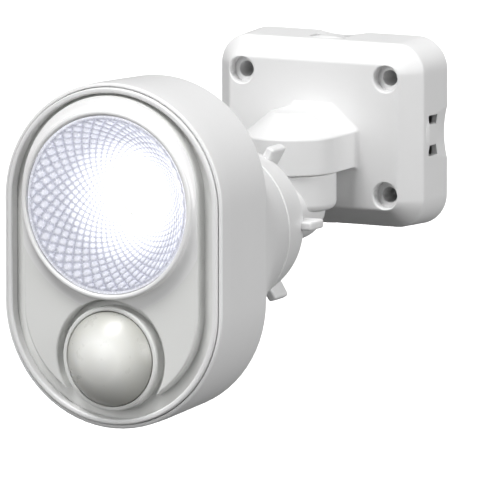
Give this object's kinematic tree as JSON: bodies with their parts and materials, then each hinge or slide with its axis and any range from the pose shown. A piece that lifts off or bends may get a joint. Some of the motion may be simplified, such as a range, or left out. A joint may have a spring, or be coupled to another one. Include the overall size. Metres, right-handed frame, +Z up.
{
  "type": "floodlight security light with motion sensor",
  "caption": "Wall-mounted LED sensor floodlight: round faceted lamp and domed motion sensor in a capsule head, on a ball joint and a swivelling arm.",
  "frame": {"origin": "centre of the base's wall face", "axes": "+Z up, +Y into the wall, the lamp looks along -Y, +X to the right for a person facing the lamp"},
  "size_m": [0.102, 0.2284, 0.145],
  "materials": {
    "shell_white": "fine satin moulded plastic",
    "panel_grey": "smooth satin",
    "ring_white": "polished",
    "pir_ivory": "milky, satin",
    "clear_lens": "clear",
    "reflector_metal": "mirror-bright coated facets",
    "plate_plastic": "matte",
    "ball_plastic": "smooth",
    "bearing_plastic": "smooth",
    "black_plastic": "matte",
    "seal_rubber": "matte",
    "screw_zinc": "zinc plated",
    "circuit_board": "solder mask",
    "copper_coil": "varnished",
    "capacitor_sleeve": "smooth",
    "terminal_plastic": "matte",
    "lead_insulation": "smooth",
    "led_ceramic": "matte white",
    "led_glow": "glowing phosphor",
    "sink_aluminium": "as extruded",
    "sensor_can": "plated",
    "sensor_amber": "smooth",
    "dial_grey": "matte"
  },
  "bodies": {
    "wall_base": {"base_housing": "shell_white", "back_plate": "plate_plastic", "base_gasket": "seal_rubber", "plate_screw_1": "screw_zinc", "plate_screw_2": "screw_zinc", "plate_screw_3": "screw_zinc", "plate_screw_4": "screw_zinc", "driver_board": "circuit_board", "power_inductor": "copper_coil", "storage_capacitor": "capacitor_sleeve", "terminal_block": "terminal_plastic", "cable_clamp": "black_plastic", "clamp_screw_1": "screw_zinc", "clamp_screw_2": "screw_zinc", "swivel_bush": "bearing_plastic", "base_lead": "lead_insulation"},
    "arm": {"arm_elbow": "shell_white", "ball_end": "ball_plastic", "swivel_seal": "seal_rubber", "swivel_washer": "screw_zinc", "swivel_nut": "screw_zinc", "arm_lead": "lead_insulation"},
    "pan_lining": {"ball_liner": "bearing_plastic"},
    "tilt_lining": {"clamp_seat": "bearing_plastic"},
    "head": {"head_housing": "shell_white", "front_bezel": "shell_white", "front_panel": "panel_grey", "panel_gasket": "seal_rubber", "cover_screw_1": "screw_zinc", "cover_screw_2": "screw_zinc", "cover_screw_3": "screw_zinc", "cover_screw_4": "screw_zinc", "lamp_ring": "ring_white", "lamp_lens": "clear_lens", "reflector": "reflector_metal", "led_holder": "led_ceramic", "led_chip": "led_glow", "led_board": "led_ceramic", "heat_sink": "sink_aluminium", "pir_lens": "pir_ivory", "sensor_shroud": "black_plastic", "pir_sensor": "sensor_can", "light_sensor": "sensor_amber", "sensor_board": "circuit_board", "adjuster_board": "circuit_board", "head_lead": "lead_insulation"},
    "lock_ring": {"lock_ring": "shell_white"},
    "time_dial": {"time_dial": "dial_grey"},
    "light_dial": {"light_dial": "dial_grey"}
  },
  "joints": [
    {"name": "arm_swivel", "type": "hinge", "parent": "wall_base", "child": "arm", "pos_m": [0, -0.0505, -0.0292], "axis": [0, 0, 1], "range_deg": [-60, 60]},
    {"name": "head_pan", "type": "hinge", "parent": "arm", "child": "pan_lining", "pos_m": [0, -0.1123, -0.0292], "axis": [0, 0, 1], "range_deg": [-26, 26]},
    {"name": "head_tilt", "type": "hinge", "parent": "pan_lining", "child": "tilt_lining", "pos_m": [0, -0.1123, -0.0292], "axis": [1, 0, 0], "range_deg": [-25, 28]},
    {"name": "head_roll", "type": "hinge", "parent": "tilt_lining", "child": "head", "pos_m": [0, -0.1123, -0.0292], "axis": [0, 1, 0], "range_deg": [-90, 90]},
    {"name": "lock_ring_turn", "type": "hinge", "parent": "head", "child": "lock_ring", "pos_m": [0, -0.1123, -0.0292], "axis": [0, 1, 0], "range_deg": [0, 60]},
    {"name": "time_dial_turn", "type": "hinge", "parent": "head", "child": "time_dial", "pos_m": [-0.01, -0.1924, -0.099], "axis": [0, 0, 1], "range_deg": [-135, 135]},
    {"name": "light_dial_turn", "type": "hinge", "parent": "head", "child": "light_dial", "pos_m": [0.01, -0.1924, -0.099], "axis": [0, 0, 1], "range_deg": [-135, 135]}
  ]
}
